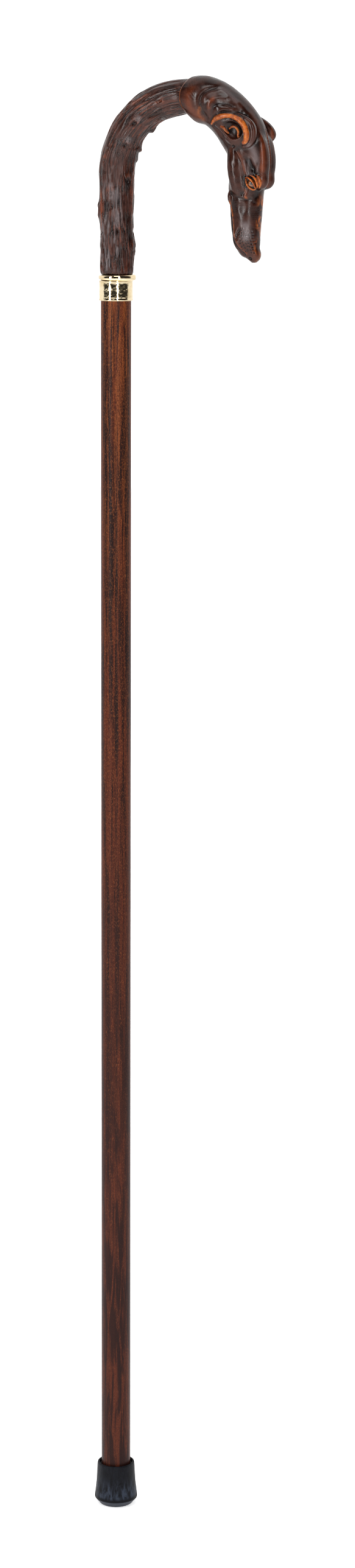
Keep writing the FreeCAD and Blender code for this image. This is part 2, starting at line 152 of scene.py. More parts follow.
class Paint:
    """A node material, with short ways to make its nodes."""

    def __init__(self, name):
        self.material = bpy.data.materials.new(name)
        self.material.use_nodes = True
        self.nodes = self.material.node_tree.nodes
        self.links = self.material.node_tree.links
        self.shader = self.nodes["Principled BSDF"]
        self.colour = None

    def put(self, socket, value):
        """Links an output to a socket, or sets a number or a colour on it."""
        if isinstance(value, bpy.types.NodeSocket):
            self.links.new(value, socket)
        elif isinstance(value, (tuple, list)) and len(value) == 3 and len(socket.default_value) == 4:
            socket.default_value = (*value, 1)
        else:
            socket.default_value = value

    def set(self, **values):
        """Sets the shader's own sockets, named with underscores."""
        for name, value in values.items():
            self.put(self.shader.inputs[name.replace("_", " ")], value)

    def mark(self, name):
        """A value stored on the mesh's points."""
        node = self.nodes.new("ShaderNodeAttribute")
        node.attribute_name = name
        return node.outputs["Fac"]

    def place(self, stretch=1):
        """Object coordinates in millimetres, divided by one stretch, or by one along each axis."""
        spot = self.nodes.new("ShaderNodeTexCoord").outputs["Object"]
        mapping = self.nodes.new("ShaderNodeMapping")
        lengths = stretch if isinstance(stretch, tuple) else (stretch,) * 3
        mapping.inputs["Scale"].default_value = [1 / MM / length for length in lengths]
        self.put(mapping.inputs["Vector"], spot)
        return mapping.outputs["Vector"]

    def height(self):
        """The height above the floor, in millimetres."""
        node = self.nodes.new("ShaderNodeSeparateXYZ")
        self.put(node.inputs["Vector"], self.place())
        return node.outputs["Z"]

    def marked_place(self, **lengths):
        """A place given by the mesh's marks, each divided by a length in millimetres."""
        node = self.nodes.new("ShaderNodeCombineXYZ")
        for socket, (name, length) in zip(node.inputs, lengths.items()):
            self.put(socket, self.math("DIVIDE", self.mark(name), length))
        return node.outputs["Vector"]

    def noise(self, stretch, detail, roughness, distortion=0.0):
        """Noise whose blotches are about as long as the stretch, in millimetres."""
        return self.noise_at(self.place(stretch), detail, roughness, distortion)

    def noise_at(self, vector, detail, roughness, distortion=0.0):
        """Noise at a place whose unit is one blotch."""
        node = self.nodes.new("ShaderNodeTexNoise")
        self.put(node.inputs["Vector"], vector)
        self.put(node.inputs["Scale"], 1.0)
        self.put(node.inputs["Detail"], detail)
        self.put(node.inputs["Roughness"], roughness)
        self.put(node.inputs["Distortion"], distortion)
        return node.outputs["Fac"]

    def math(self, operation, first, second):
        """One sum, such as ADD or MAXIMUM, of two values."""
        node = self.nodes.new("ShaderNodeMath")
        node.operation = operation
        self.put(node.inputs[0], first)
        self.put(node.inputs[1], second)
        return node.outputs["Value"]

    def times(self, first, second):
        """One product."""
        return self.math("MULTIPLY", first, second)

    def ramp(self, value, low, high, out_low=0.0, out_high=1.0):
        """Carries a value smoothly from one range to another."""
        node = self.nodes.new("ShaderNodeMapRange")
        node.interpolation_type = "SMOOTHSTEP"
        for name, number in (("Value", value), ("From Min", low), ("From Max", high),
                             ("To Min", out_low), ("To Max", out_high)):
            self.put(node.inputs[name], number)
        return node.outputs["Result"]

    def mix(self, amount, first, second):
        """Mixes two colours."""
        node = self.nodes.new("ShaderNodeMix")
        node.data_type = "RGBA"
        self.put(node.inputs["Factor"], amount)
        colours = [socket for socket in node.inputs if socket.type == "RGBA"]
        self.put(colours[0], first)
        self.put(colours[1], second)
        return next(socket for socket in node.outputs if socket.type == "RGBA")

    def lay(self, amount, colour):
        """Lays a colour over the material's colour so far."""
        self.colour = self.mix(amount, self.colour, colour)

    def bump(self, height, millimetres, normal=None):
        """Turns a height into surface relief of that many millimetres."""
        node = self.nodes.new("ShaderNodeBump")
        self.put(node.inputs["Height"], height)
        node.inputs["Distance"].default_value = millimetres * MM
        node.inputs["Strength"].default_value = 1.0
        if normal:
            self.put(node.inputs["Normal"], normal)
        return node.outputs["Normal"]


# Near-black for dark glaze in hollows, black paint and bark lines, and for painted shade.
DARK_GLAZE_AND_SHADE = (0.003, 0.0015, 0.0015)
# Grey of the painted highlights: sheen and glints laid into the resin's colour.
PAINTED_HIGHLIGHT_GREY = (0.15, 0.125, 0.125)
AMBER, DEEP_AMBER = (0.42, 0.125, 0.020), (0.21, 0.048, 0.010)


def cast_resin(name, dark, brown, worn, shine, grain=False):
    """Cast resin painted dark, rubbed back to brown on its ridges, with amber and black touches, painted
    shade in some hollows and painted highlights of grey sheen and glints.
    With grain it has the fine long lines of bark, laid out by the marks along, across and aside."""
    paint = Paint(name)
    height = paint.mark("relief")
    cloud = paint.noise(7, 3, 0.5)
    speck = paint.noise(0.7, 3, 0.6)
    mottle = paint.noise(2.2, 4, 0.65)
    rubbed = paint.math("ADD", paint.times(height, 2.4), paint.ramp(cloud, 0.3, 0.7, 0.0, 0.5))
    patchy = paint.times(paint.mark("worn"), paint.ramp(cloud, 0.3, 0.65, 0.35, 1.0))
    deep = 1.7 if grain else 1.0
    hollow = paint.ramp(height, -0.45 * deep, -0.06 * deep ** 2, 0.95, 0.0)
    paint.colour = paint.mix(paint.ramp(rubbed, -0.3, 0.9), dark, brown)
    paint.lay(patchy, worn)
    paint.lay(paint.ramp(speck, 0.55, 0.75, 0.0, 0.35), dark)
    # Near-black in the hollows and along the black mark: dark glaze and black paint, and painted shade in
    # the temple's crease, the ear's bowl and at the branch's foot.
    paint.lay(paint.math("MAXIMUM", hollow, paint.mark("black")), DARK_GLAZE_AND_SHADE)
    paint.lay(paint.mark("amber"), paint.mix(paint.ramp(mottle, 0.35, 0.62), AMBER, DEEP_AMBER))
    # Painted highlight: grey sheen and glints laid into the colour where the mesh marks them.
    paint.lay(paint.mark("painted_highlight"), PAINTED_HIGHLIGHT_GREY)
    normal = paint.bump(paint.noise(1.8, 2, 0.45), 0.012)
    if grain:
        lines = paint.noise_at(paint.marked_place(along=12.0, across=1.0, aside=1.0), 4.0, 0.6, 0.4)
        patch = paint.ramp(paint.noise((9, 9, 14), 3, 0.5), 0.38, 0.6, 0.3, 1.0)
        paint.lay(paint.times(paint.ramp(lines, 0.36, 0.48, 0.95, 0.0), patch), DARK_GLAZE_AND_SHADE)
        paint.lay(paint.times(paint.ramp(lines, 0.56, 0.72, 0.0, 0.7), patch), worn)
        normal = paint.bump(paint.times(lines, patch), 0.3, normal)
        wrinkles = paint.noise_at(paint.marked_place(along=3.2, across=0.5, aside=0.5), 3.0, 0.55, 0.8)
        normal = paint.bump(paint.times(wrinkles, paint.mark("painted_highlight")), 0.9, normal)
    rough = paint.ramp(cloud, 0.3, 0.7, shine - 0.06, shine + 0.10)
    paint.set(Base_Color=paint.colour, Roughness=rough, Normal=normal, IOR=1.42)
    return paint.material


def brass_metal():
    """Polished brass with a fine turned grain and a little tarnish."""
    paint = Paint("brass")
    rings = paint.noise((8, 8, 0.5), 2, 0.5)
    cloud = paint.noise((4, 4, 3), 4, 0.6)
    paint.colour = paint.mix(paint.ramp(cloud, 0.35, 0.7), (0.80, 0.69, 0.49), (0.74, 0.60, 0.38))
    pitted = paint.noise(0.8, 3, 0.55)
    height = paint.math("ADD", paint.times(rings, 0.1), pitted)
    paint.set(Base_Color=paint.colour, Metallic=1.0, Roughness=paint.ramp(cloud, 0.3, 0.7, 0.06, 0.12))
    paint.set(Normal=paint.bump(height, 0.04))
    return paint.material


def steel_metal():
    """Plain steel, as drawn and cut."""
    paint = Paint("steel")
    drawn = paint.noise((0.5, 0.5, 20), 3, 0.6)
    paint.colour = paint.mix(paint.ramp(drawn, 0.3, 0.7), (0.42, 0.42, 0.43), (0.6, 0.6, 0.6))
    paint.set(Base_Color=paint.colour, Metallic=1.0, Roughness=paint.ramp(drawn, 0.3, 0.7, 0.25, 0.45))
    paint.set(Normal=paint.bump(drawn, 0.02))
    return paint.material


def stained_beech():
    """Red-brown stained beech under satin lacquer: long streaks, flecks and pores, golden near the top."""
    paint = Paint("shaft_wood")
    low, high = node_box("shaft")
    height = paint.height()
    board = paint.noise((3.4, 3.4, 120), 3, 0.55, 0.6)
    streak = paint.noise((1.5, 1.5, 46), 5, 0.62, 1.0)
    fleck = paint.noise((0.6, 0.6, 1.3), 3, 0.7)
    pore = paint.noise((0.5, 0.5, 1.0), 3, 0.6, 0.4)
    tone = paint.math("ADD", paint.times(board, 0.6), paint.times(streak, 0.4))
    paint.colour = paint.mix(paint.ramp(tone, 0.43, 0.57), (0.015, 0.0065, 0.006), (0.095, 0.024, 0.011))
    golden = paint.times(paint.ramp(height, high[2] - 260, high[2], 0, 0.75), paint.ramp(streak, 0.44, 0.62))
    paint.lay(golden, (0.20, 0.062, 0.018))
    paint.lay(paint.ramp(fleck, 0.5, 0.68, 0, 0.55), (0.24, 0.082, 0.028))
    paint.lay(paint.ramp(pore, 0.45, 0.65, 0, 0.6), (0.010, 0.0045, 0.004))
    vein = paint.ramp(paint.noise((3.2, 3.2, 40), 4, 0.55, 1.0), 0.42, 0.56)
    lower = paint.ramp(height, low[2] + 100, low[2] + 560, 0.85, 0.0)
    paint.lay(paint.times(lower, 0.6), (0.075, 0.024, 0.016))
    paint.lay(paint.times(lower, vein), (0.020, 0.0095, 0.009))
    grain = paint.math("SUBTRACT", fleck, paint.ramp(pore, 0.54, 0.66, 0, 0.6))
    paint.set(Base_Color=paint.colour, Roughness=paint.ramp(streak, 0.3, 0.7, 0.36, 0.46))
    paint.set(Normal=paint.bump(grain, 0.015), IOR=1.25)
    return paint.material


def moulded_rubber():
    """Charcoal rubber with chalky streaks that run down from its middle and a scuffed foot."""
    paint = Paint("rubber")
    top = node_box("ferrule")[1][2]
    rise = paint.height()
    streak = paint.noise((2.0, 2.0, 9), 5, 0.65, 0.6)
    grit = paint.noise(0.45, 4, 0.7)
    lower = paint.times(paint.ramp(rise, 0.25 * top, 0.8 * top, 1.0, 0.1), paint.ramp(rise, 5.2, 7.4))
    chalk = paint.times(paint.ramp(streak, 0.36, 0.70), lower)
    paint.colour = paint.mix(paint.ramp(grit, 0.3, 0.7), (0.003, 0.003, 0.0045), (0.008, 0.008, 0.011))
    paint.lay(paint.times(chalk, 0.7), (0.060, 0.074, 0.105))
    scuff = paint.times(paint.ramp(rise, 3.9, 4.6, 1.0, 0.0), paint.ramp(grit, 0.3, 0.6, 0.4, 1.0))
    paint.lay(paint.times(scuff, 0.6), (0.085, 0.095, 0.12))
    paint.set(Base_Color=paint.colour, Roughness=paint.ramp(grit, 0.3, 0.7, 0.4, 0.56), IOR=1.26)
    paint.set(Normal=paint.bump(paint.math("ADD", grit, paint.times(streak, 0.8)), 0.06))
    return paint.material


def glass_eye():
    """A brown iris round a black pupil, under a clear gloss."""
    paint = Paint("eye_glass")
    ring = paint.mark("iris")
    rays = paint.noise(0.35, 3, 0.6)
    paint.colour = paint.mix(paint.ramp(rays, 0.35, 0.65), (0.09, 0.028, 0.008), (0.22, 0.075, 0.017))
    paint.lay(paint.ramp(ring, 0.34, 0.42, 1.0, 0.0), (0.004, 0.003, 0.003))
    paint.lay(paint.ramp(ring, 0.62, 0.76, 0.0, 1.0), (0.012, 0.007, 0.006))
    paint.set(Base_Color=paint.colour, Roughness=paint.ramp(rays, 0.3, 0.7, 0.03, 0.06))
    paint.set(Normal=paint.bump(rays, 0.004), Coat_Weight=1.0, Coat_Roughness=0.02)
    return paint.material


# ---------------------------------------------------------------- turned pieces

def rounded_profile(corners, steps=6):
    """A profile through corners of (radius, height, rounding), each rounded by a short curve."""
    points = np.array([corner[:2] for corner in corners], float)
    line = []
    for number, here in enumerate(points):
        rounding = corners[number][2]
        if rounding == 0:
            line.append(here)
            continue
        before = points[number - 1] - here
        after = points[number + 1] - here
        start = here + before * min(rounding / np.linalg.norm(before), 0.45)
        end = here + after * min(rounding / np.linalg.norm(after), 0.45)
        for t in np.linspace(0, 1, steps):
            line.append((1 - t) ** 2 * start + 2 * t * (1 - t) * here + t ** 2 * end)
    return np.array(line)


def subdivided(line, longest):
    """The same line with no stretch longer than that."""
    points = [line[0]]
    for start, end in zip(line, line[1:]):
        count = max(1, math.ceil(np.linalg.norm(end - start) / longest))
        points += [start + (end - start) * step / count for step in range(1, count + 1)]
    return np.array(points)


def turned(line, columns):
    """Turns a profile about the Z axis. A profile that starts and ends on the axis closes at two poles,
    and any other closes on itself."""
    angle = np.arange(columns) * TURN / columns
    circle = np.stack([np.cos(angle), np.sin(angle)], 1)
    on_axis = line[0][0] < 1e-6
    rings = line[1:-1] if on_axis else line
    points = np.concatenate([np.column_stack([radius * circle, np.full(columns, height)])
                             for radius, height in rings])
    faces = grid_faces(len(rings), columns, closed=not on_axis).tolist()
    if on_axis:
        poles, last = len(points), (len(rings) - 1) * columns
        points = np.concatenate([points, [[0, 0, line[0][1]], [0, 0, line[-1][1]]]])
        steps = [(column, (column + 1) % columns) for column in range(columns)]
        faces += [[poles, b, a] for a, b in steps]
        faces += [[poles + 1, last + a, last + b] for a, b in steps]
    return points, faces


def uneven(points, inside, sink, waves):
    """Moves a turned piece's points beyond a radius in and out. Each wave is a cell, a seed and a
    height, and the sink keeps the skin within the CAD part."""
    out = points * (1, 1, 0)
    reach = np.linalg.norm(out, axis=1)
    wave = sum(noise(points, cell, seed) * height for cell, seed, height in waves) - sink
    wave *= (reach > inside) & (points[:, 2] > 1.0)
    return points + out * (wave / np.maximum(reach, 1e-9))[:, None]


ROD_RADIUS = 3.5
ROD_HOLE_DEPTH = 56.0


def make_shaft(material):
    """The shaft, with its bevelled foot, the rod's hole and the slight waviness of sanded wood."""
    low, high = node_box("shaft")
    radius = high[0]
    hole_floor = high[2] - ROD_HOLE_DEPTH
    line = rounded_profile((
        (0, low[2], 0), (radius - 0.8, low[2], 0.3), (radius, low[2] + 0.8, 0.4), (radius, high[2], 0.15),
        (ROD_RADIUS, high[2], 0.2), (ROD_RADIUS, hole_floor, 0.2), (0, hole_floor, 0)))
    points, faces = turned(subdivided(line, 3.0), 144)
    points = uneven(points, radius - 0.2, 0.04, (((4, 4, 60), 3, 0.035), ((1.2, 1.2, 14), 4, 0.02)))
    make_piece("shaft", points, faces, "cane", material)


def make_ferrule(material):
    """The flared ferrule: recessed rim, hollow flanks, a worn edge and a ring cut in its tread."""
    low, high = node_box("ferrule")
    wide, top = high[0], high[2]
    bore, washer_top = 9.55, 8.0
    line = rounded_profile((
        (0, 0, 0), (4.6, 0, 0.25), (4.9, 0.7, 0.2), (5.7, 0.7, 0.2), (6.0, 0, 0.25), (7.2, 0, 0.25),
        (7.4, 1.2, 0.25), (8.4, 1.2, 0.25), (8.6, 0, 0.25), (wide - 3.8, 0, 0.8), (wide - 0.2, 4.1, 0.4),
        (wide - 0.1, 4.9, 0.5), (wide - 1.3, 14, 5), (wide - 2.0, top - 2.2, 1.6), (wide - 2.2, top, 1.0),
        (10.9, top, 0.5), (10.6, top - 2, 0.5), (bore, top - 2.1, 0.2), (bore, washer_top, 0.1),
        (0, washer_top, 0)))
    points, faces = turned(subdivided(line, 0.6), 160)
    points = uneven(points, wide - 2.6, 0.08, (((3, 3, 12), 11, 0.07), ((0.9, 0.9, 2.5), 12, 0.04)))
    make_piece("ferrule", points, faces, "ferrule", material)


def make_sleeve(material):
    """The brass tube, spun with a rolled lower lip and left slightly uneven."""
    low, high = node_box("collar_sleeve")
    radius, foot, top = high[0], low[2], high[2]
    wall = 1.25
    line = rounded_profile((
        (radius - wall, foot, 0), (radius - 0.15, foot, 0.5), (radius, foot + 0.7, 0.4),
        (radius - 0.3, foot + 1.3, 0.3), (radius - 0.22, foot + 2.4, 1.0),
        (radius - 0.22, top - 1.6, 1.0), (radius, top, 0.4), (radius - wall, top, 0)))
    points, faces = turned(subdivided(line, 0.35), 192)
    points = uneven(points, radius - 0.6, 0.04, (((1.3, 1.3, 0.9), 21, 0.03), ((2.6, 2.6, 2.0), 22, 0.05)))
    make_piece("collar_sleeve", points, faces, "cane", material)


def make_bead(material):
    """The brass ring, off centre and a little thicker on the side that it leans to."""
    low, high = node_box("collar_bead")
    shift = (low[0] + high[0]) / 2
    radius = (high[0] - low[0]) / 2
    middle = (low[2] + high[2]) / 2
    half = (high[2] - low[2]) / 2
    bore = 6.5
    line = rounded_profile((
        (bore, -half, 0), (radius - half, -half, 0.4), (radius - 0.25, -0.72 * half, 1.0), (radius, 0, 1.1),
        (radius - 0.25, 0.72 * half, 1.0), (radius - half, half, 0.4), (bore, half, 0)), 9)
    points, faces = turned(subdivided(line, 0.35), 192)
    lean = points[:, 0] / radius
    out = soft_step(bore + 0.5, radius - 1.5, np.hypot(points[:, 0], points[:, 1]))
    points[:, 2] *= 1 + 0.14 * lean * out
    points[:, 0] += shift * out
    points[:, 2] += middle
    make_piece("collar_bead", points, faces, "cane", material)


# ---------------------------------------------------------------- the branch

CROOK_RADIUS = 48.0
CROOK_START = 871.2
BRANCH_OFFSET = 0.6
BRANCH_ROOT, BRANCH_FOOT = [corner[2] for corner in node_box("collar_bead")]
BRANCH_TIP = node_box("crook_branch")[1][0]
STEM = CROOK_START - BRANCH_FOOT
BEND = CROOK_RADIUS * math.pi / 2
SPIGOT_RADIUS = 6.35


def crook_frame(run, offset):
    """Centre (x, z) and outward normal (x, z) of the crook at a distance along it from its foot."""
    turn = np.clip((run - STEM) / CROOK_RADIUS, 0, math.pi / 2)
    past = np.maximum(run - STEM - BEND, 0)
    x = offset + CROOK_RADIUS * (1 - np.cos(turn)) + past
    z = np.where(run < STEM, BRANCH_FOOT + run, CROOK_START + CROOK_RADIUS * np.sin(turn))
    return np.stack([x, z], -1), np.stack([-np.cos(turn), np.sin(turn)], -1)


# Distance along the branch and its radius there.
BRANCH_SIZES = ((0, 10.0), (3, 10.3), (14, 10.4), (18, 10.7), (24, 10.4), (45, 10.6), (66, 10.9),
                (82, 10.9), (100, 11.0), (112, 11.0), (124, 11.0), (132, 10.8), (140, 10.4))

# Knots: distance along, angle round from the outer side (degrees), size, height, pit depth.
KNOTS = (
    (26.5, -110, 2.6, 0.75, 1.3), (50.0, -89, 2.8, 0.7, 1.1), (98.0, -104, 2.9, 0.9, 1.4),
    (82.0, -118, 2.6, 0.5, 1.2), (103.0, -36, 2.2, 0.6, 1.2), (69.0, -60, 2.0, 0.3, 0.9),
    (6.5, -47, 2.2, 0.5, 1.2), (39.5, -22, 3.0, 1.3, 0.0), (17.0, -186, 4.0, 1.3, 0.0),
    (58.0, -150, 2.4, 0.3, 0.6), (120.0, -92, 1.9, 0.2, 0.9), (60.0, 60, 3.0, 0.9, 1.1),
    (30.0, 95, 3.2, 1.0, 1.2), (95.0, 70, 2.8, 0.8, 1.2), (116.0, 110, 2.4, 0.6, 1.0),
    (80.0, 130, 2.6, 0.7, 1.0),
)

# Long ridges: angle round, start and end along the branch, height and width.
RIDGES = ((-80, 0, 32, 0.55, 1.3), (-171, 0, 75, 0.6, 2.2), (-133, 32, 78, 0.4, 1.6),
          (-58, 28, 66, 0.45, 2.2), (-100, 88, 128, 0.4, 1.8), (-140, 96, 130, 0.45, 2.0),
          (40, 10, 60, 0.5, 2.0), (100, 40, 120, 0.5, 2.0))

# Snags of broken bark: distance along, angle round, length, width and height.
SNAGS = ((100.0, -190, 9.0, 4.0, 1.7), (81.5, -190, 8.0, 4.0, 1.5), (73.0, -196, 8.0, 3.6, 0.8))


def gap_round(angle, degrees):
    """Angle from a line along the branch, between minus and plus half a turn."""
    return (angle - math.radians(degrees) + math.pi) % TURN - math.pi


def between(start, rise, fall, end, value):
    """1 between rise and fall, smoothly 0 before start and after end."""
    return soft_step(start, rise, value) * soft_step(end, fall, value)


def bark(run, angle, radius):
    """Height of the bark over the branch's round form, how red it is rubbed, and where it gets painted
    highlights.
    """
    spot = np.stack([run, radius * np.cos(angle), radius * np.sin(angle)], 1)
    warp = noise(spot, (16, 6, 6), 31) * 1.6
    warped = spot + np.stack([np.zeros_like(warp), -np.sin(angle) * warp, np.cos(angle) * warp], 1)
    groove = 1 - np.abs(noise(warped, (18, 1.9, 1.9), 32))
    fine = 1 - np.abs(noise(warped, (10, 1.0, 1.0), 33))
    plate = soft_step(-0.08, 0.08, noise(warped, (24, 5.5, 5.5), 34))
    rough = soft_step(-0.2, 0.35, noise(spot, (26, 8, 8), 35))

    # A rough panel near the foot and a smooth one above it, both facing the photo's side.
    from_panel = np.abs(radius * gap_round(angle, -86) + 2.5 * noise(spot, (12, 40, 40), 42))
    panel = between(1, 6, 50, 60, run) * soft_step(7.6, 5.4, from_panel)
    smooth = between(52, 58, 72, 80, run) * soft_step(9.0, 5.0, np.abs(radius * gap_round(angle, -80)))
    rough = np.maximum(rough * (1 - 0.8 * smooth), panel)

    height = noise(spot, (26, 11, 11), 36) * 0.45 + noise(warped, (9, 4, 4), 37) * 0.34
    height += (plate - 0.5) * 0.5
    height -= soft_step(0.84, 1.0, groove) * (0.38 + 0.42 * rough)
    height -= soft_step(0.80, 1.0, fine) * (0.05 + 0.17 * rough)
    height += noise(spot, (3.0, 1.3, 1.3), 38) * 0.05 * rough
    sway = noise(spot, (14, 40, 40), 41) * 1.6
    for degrees, start, end, rise, width in RIDGES:
        gap = radius * gap_round(angle, degrees) + sway
        height += rise * between(start - 4, start + 4, end - 5, end + 5, run) * np.exp(-(gap / width) ** 2)

    red = soft_step(0.1, 0.7, noise(warped, (12, 1.0, 1.0), 39)) * (1 - 0.6 * panel)
    red *= soft_step(-0.3, 0.5, noise(spot, (20, 7, 7), 40))
    # Painted highlight: grey sheen and glints on the rough panel, stronger towards the foot.
    painted_highlight = panel * (1.4 + soft_step(22, 10, run))
    painted_highlight *= soft_step(0.0, 0.5, noise(warped, (7, 1.0, 1.0), 43))
    for along, degrees, size, rise, pit in KNOTS:
        gap = radius * gap_round(angle, degrees)
        spread = np.hypot((run - along) / 1.5, gap) / size
        ring = np.exp(-((spread - 0.75) / 0.42) ** 2)
        height += rise * (np.exp(-spread ** 2 * 0.7) * 0.55 + ring * 0.45)
        height -= pit * np.exp(-(spread / 0.42) ** 2)
        # Painted highlight: a light grey spot just above each deep knot.
        shine = np.exp(-(gap / (size * 0.7)) ** 2) * soft_step(3.4, 0.6, np.abs(run - along - 4.2))
        red = np.maximum(red, 0.6 * ring * soft_step(0.5, 2.5, run - along) * (pit > 0))
        painted_highlight = np.maximum(painted_highlight, 1.5 * shine * (pit > 0.95))
    for along, degrees, length, width, rise in SNAGS:
        gap = radius * gap_round(angle, degrees)
        ahead = (run - along) / length
        ramp = np.where(ahead > 0, soft_step(1.0, 0.0, ahead), soft_step(-0.35, 0.0, ahead))
        height += rise * ramp * np.exp(-(gap / width) ** 2)
    return height, red, painted_highlight * 0.5


def ring_points(centre, normal, radius, angle):
    """Points round the crook's line: centre and normal are (x, z), the angle is from the normal."""
    side = radius * np.cos(angle)
    return np.stack([centre[:, 0] + side * normal[:, 0], radius * np.sin(angle),
                     centre[:, 1] + side * normal[:, 1]], 1)


def make_branch(material):
    """The cast branch: barked outside, drilled for the rod, with a spigot below."""
    columns, step = 200, 0.36
    bore = ROD_RADIUS + 0.02
    end = STEM + BEND + BRANCH_TIP - CROOK_RADIUS - 0.8
    angle = np.arange(columns) * TURN / columns
    run, theta = [side.ravel() for side in np.meshgrid(np.arange(0, end, step), angle, indexing="ij")]
    round_radius = np.interp(run, *smooth_line(BRANCH_SIZES).T)
    height, red, painted_highlight = bark(run, theta, round_radius)
    ends = between(-0.5, 4.0, end - 9.5, end - 5.5, run)
    radius = round_radius + height * (0.12 + 0.88 * ends) - 0.4 * soft_step(0.9, 0, run)
    skin = ring_points(*crook_frame(run, BRANCH_OFFSET), radius, theta)

    # From the tip back down the bore, then round the spigot and out to the foot.
    inner = [ring_points(*crook_frame(np.full(columns, back), 0.0), bore, angle)
             for back in np.append(np.arange(end, 0, -4.0), 0.0)]
    level = np.array([[-1.0, 0.0]] * columns)
    for z, size in ((BRANCH_ROOT, bore), (BRANCH_ROOT, 5.0), (BRANCH_ROOT, SPIGOT_RADIUS),
                    (BRANCH_FOOT, SPIGOT_RADIUS)):
        inner.append(ring_points(np.array([[0.0, z]] * columns), level, size, angle))
    points = np.concatenate([skin] + inner)
    faces = grid_faces(len(points) // columns, columns, closed=True)[:, ::-1]

    # The black band at the very foot is painted shade where the branch goes into the collar; the highlight
    # marks come from the bark.
    on_skin = {"worn": red * ends, "painted_highlight": painted_highlight, "black": soft_step(1.2, 0.2, run) * 0.8,
               "amber": np.zeros(len(skin)), "along": run,
               "across": radius * np.cos(theta), "aside": radius * np.sin(theta)}
    marks = {name: np.append(value, np.zeros(len(points) - len(skin))) for name, value in on_skin.items()}
    marks["relief"] = relief(points, faces, 6)
    make_piece("crook_branch", points, faces.tolist(), "cane", material, marks)


# ---------------------------------------------------------------- the hound's head

# The neck and skull: centreline x and z, tilt of the section, its depth to the outer and to the inner
# side, and its half width.
HEAD_SECTIONS = (
    (44, 919.2, 11.2, 11.2, 11.6), (46.6, 919.2, 11.7, 11.6, 12), (56.5, 917.6, 14.5, 14.5, 14.2),
    (66.2, 914.3, 14.2, 14.2, 14.2), (75, 907.4, 14.2, 14.3, 14), (82.6, 898, 14.1, 14.8, 13.4),
    (87.2, 887, 13, 13.6, 12.6), (88.6, 875.5, 11, 12.5, 11.4), (87, 864.5, 9.8, 12.6, 10.4),
    (86, 852, 9.7, 10.6, 9), (86.4, 838, 8.3, 9.7, 8.2), (88, 828.6, 6.5, 8, 6.8),
    (90, 823.4, 4.4, 5, 4.8), (91, 819.3, 1, 1.6, 1.4),
)

# Masses laid on: centre x, y, z, half sizes, lean of the long axis towards +X (degrees), softness.
MASSES = (
    (84.2, 11.4, 898.6, 9.2, 4.6, 9.2, 20, 2),    # ear
    (94.2, 5.7, 881, 8, 5.7, 17, -3, 2.2),    # forehead lobe
    (96.4, 5.7, 869, 5.2, 4.5, 5.6, 0, 1.5),      # brow
    (81.4, 7.6, 875.5, 5.4, 4.9, 16, -6, 2.5),    # cheek
    (77.5, 5, 858.2, 2.3, 3, 4.4, -8, 1.4),     # corner of the mouth
    (84.6, 5.2, 834.6, 5.2, 3.3, 7.6, 8, 3),      # flew
    (91.6, 0, 823.6, 3.5, 4.3, 4.4, 0, 1.6),      # nose
    (70, 10, 913.5, 5, 3.6, 3, 40, 3),    # skin fold by the ear
    (64, 10.4, 916.5, 3.5, 3.2, 3.6, 30, 3),    # skin fold by the cap
)

# Masses carved out, in the same way.
HOLLOWS = (
    (80.6, 15.2, 899.2, 7.2, 4.1, 5.2, 20, 0.9),    # bowl of the ear
    (91.4, 14.3, 877, 3, 4.6, 7, -18, 2.5),   # temple
    (86, 14.4, 852, 3, 4.6, 4.4, 0, 3),     # hollow of the cheek
    (95, 9.4, 859.6, 2.2, 3.8, 3.6, 10, 1.2),     # under the brow
    (89.4, 4, 821.4, 1.2, 1.7, 1.2, 0, 0.5),      # nostril
    (80.9, 14.2, 889.3, 1.6, 2.6, 1, 0, 0.5),     # notch under the ear
    (99.8, 0, 882, 4.4, 1, 20, -2, 0.8),    # furrow between the forehead lobes
)

# Rolls of clay, each a line of (x, y, z, radius).
EAR_RIM = ((66.3, 10.9, 902.6, 0.4), (68.4, 12.9, 904.9, 0.95), (70.8, 14, 906.2, 1.25),
           (74.2, 14.7, 907.4, 1.4), (77.5, 14.9, 907.8, 1.4), (80.8, 14.9, 907.5, 1.35),
           (84, 14.8, 906.3, 1.35), (86.8, 14.7, 904.2, 1.45), (88.9, 14.6, 901.4, 1.55),
           (90.1, 14.5, 898.2, 1.65), (90.3, 14.3, 895.2, 1.55), (89.4, 13.9, 892.6, 1.25),
           (88.2, 13.6, 891.6, 0.9))
EAR_FLAP = ((83, 12.4, 908.2, 1.2), (87.4, 12.6, 906.6, 1.7), (90.8, 12.6, 904.2, 2.1),
            (93, 12.7, 901, 2.3), (93.8, 12.8, 897.2, 2.3), (93.2, 12.9, 893.4, 2),
            (91.2, 13, 890.6, 1.6), (88.2, 13, 889.4, 1))
EAR_SWIRL = ((78.9, 13.2, 899.8, 0.5), (80.4, 13.6, 901, 0.65), (82.4, 13.8, 901, 0.7),
             (84, 13.8, 899.8, 0.7), (84.7, 13.7, 897.9, 0.7), (84.5, 13.6, 895.9, 0.65),
             (85.3, 13.4, 893.9, 0.5))
EAR_FOLD = ((73.6, 12.8, 901.2, 0.6), (75.4, 13.3, 900.2, 0.75), (76.8, 13.4, 898.6, 0.8),
            (78.2, 13, 897.4, 0.6))
UPPER_LID = ((88.5, 11.5, 870.9, 0.3), (90.2, 11.9, 870.7, 0.5), (92, 11.7, 869.5, 0.55),
             (93.4, 11, 867.5, 0.55), (94.3, 10.1, 865.2, 0.5), (94.7, 9.5, 863.8, 0.3))
LOWER_LID = ((88.6, 11.4, 870.5, 0.3), (88.9, 11.2, 868.4, 0.5), (89.7, 11, 866.2, 0.55),
             (91.1, 10.6, 864.5, 0.55), (92.9, 9.9, 863.5, 0.5), (94.4, 9.3, 863.4, 0.3))
